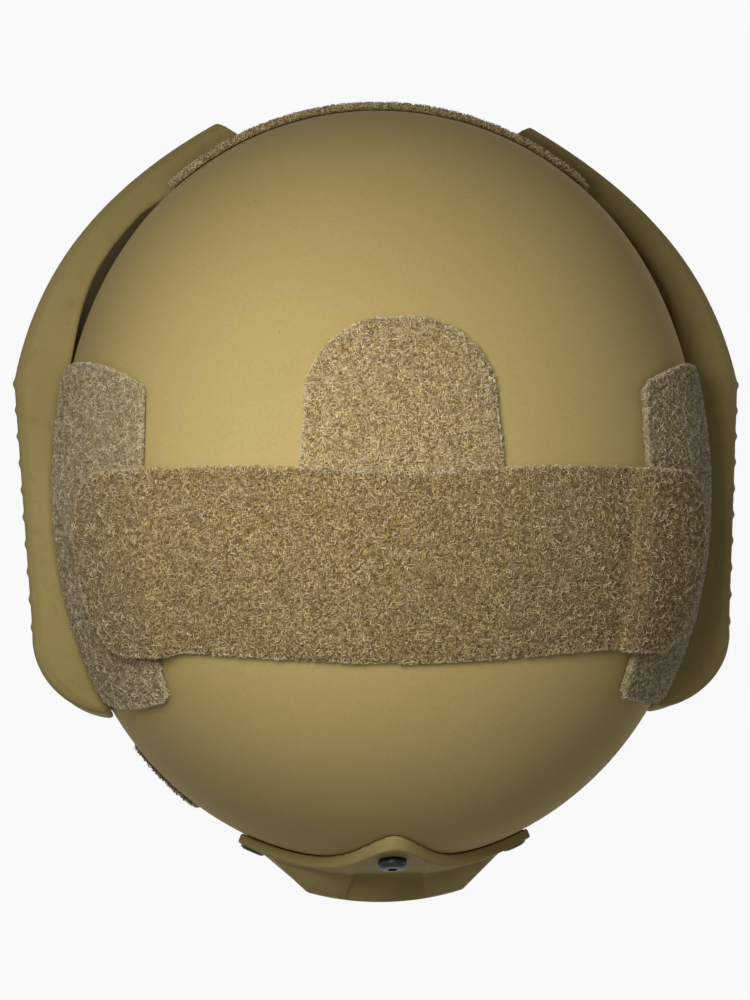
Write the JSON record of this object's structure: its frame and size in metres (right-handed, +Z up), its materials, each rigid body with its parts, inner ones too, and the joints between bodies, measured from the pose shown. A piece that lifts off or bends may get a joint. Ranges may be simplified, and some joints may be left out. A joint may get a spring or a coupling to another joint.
{
  "type": "combat helmet",
  "caption": "High-cut protective helmet shell with side rails, front device mount, loop patches, fitting pads, dial fit band and chin strap harness.",
  "frame": {"origin": "centre of the head opening, on the surface that the helmet stands on", "axes": "+Z up through the crown, -Y to the front, +X to the wearer's left"},
  "size_m": [0.2562, 0.2808, 0.1683],
  "materials": {
    "shell_paint": "matt tan paint",
    "rim_rubber": "matt tan rubber",
    "rail_plastic": "moulded tan plastic",
    "loop_tape": "brown loop pile",
    "hook_tape": "black hook tape",
    "pad_fabric": "dark brushed knit",
    "webbing": "woven tan webbing",
    "cup_leather": "tan suede leather",
    "lace_cord": "braided lace",
    "black_plastic": "black moulded plastic",
    "black_steel": "black oxide steel"
  },
  "bodies": {
    "helmet": {"shell": "shell_paint", "edge_trim": "rim_rubber", "shroud": "rail_plastic", "shroud_screws": "black_steel", "shroud_nuts": "black_steel", "rail_left": "rail_plastic", "rail_right": "rail_plastic", "rail_screws": "black_steel", "rail_nuts": "black_steel", "patch_top_strip": "loop_tape", "patch_crown": "loop_tape", "patch_side_left": "loop_tape", "patch_side_right": "loop_tape", "patch_rear": "loop_tape", "patch_front_left": "loop_tape", "patch_front_right": "loop_tape", "loop_discs": "hook_tape", "pad_crown": "pad_fabric", "pad_front": "pad_fabric", "pad_rear": "pad_fabric", "pad_side_front_left": "pad_fabric", "pad_side_front_right": "pad_fabric", "pad_side_rear_left": "pad_fabric", "pad_side_rear_right": "pad_fabric", "anchor_tabs": "webbing", "front_strap_left": "webbing", "front_strap_right": "webbing", "rear_strap_left": "webbing", "rear_strap_right": "webbing", "junction_left": "black_plastic", "junction_right": "black_plastic", "chin_strap_left": "webbing", "chin_strap_right": "webbing", "buckle_strap": "webbing", "buckle_female": "black_plastic", "chin_cup": "cup_leather", "chin_cup_pad": "pad_fabric", "nape_hangers": "black_plastic", "lace_left": "lace_cord", "lace_right": "lace_cord", "lace_eyelets": "black_plastic"},
    "nape": {"nape_cradle": "black_plastic", "nape_pad": "pad_fabric", "dial_housing": "black_plastic"},
    "dial": {"dial_knob": "black_plastic", "dial_spindle": "black_steel"},
    "buckle_half": {"buckle_male": "black_plastic"},
    "slide_left": {"adjuster_left": "black_plastic"},
    "slide_right": {"adjuster_right": "black_plastic"}
  },
  "joints": [
    {"name": "nape_slide", "type": "slide", "parent": "helmet", "child": "nape", "axis": [0, -1, 0], "range_m": [0, 0.016], "deforming": ["lace_left", "lace_right"]},
    {"name": "dial_turn", "type": "hinge", "parent": "nape", "child": "dial", "pos_m": [0, 0.105, 0.03], "axis": [0, 1, 0], "range_deg": [0, 720]},
    {"name": "buckle_release", "type": "slide", "parent": "helmet", "child": "buckle_half", "axis": [0, -1, 0], "range_m": [0, 0.018], "deforming": ["buckle_strap"]},
    {"name": "strap_slide_left", "type": "slide", "parent": "helmet", "child": "slide_left", "axis": [0, -1, 0], "range_m": [0, 0.018]},
    {"name": "strap_slide_right", "type": "slide", "parent": "helmet", "child": "slide_right", "axis": [0, -1, 0], "range_m": [0, 0.06]}
  ],
  "couplings": [
    {"joint": "dial_turn", "follows": "nape_slide", "rad_per_m": 785}
  ]
}
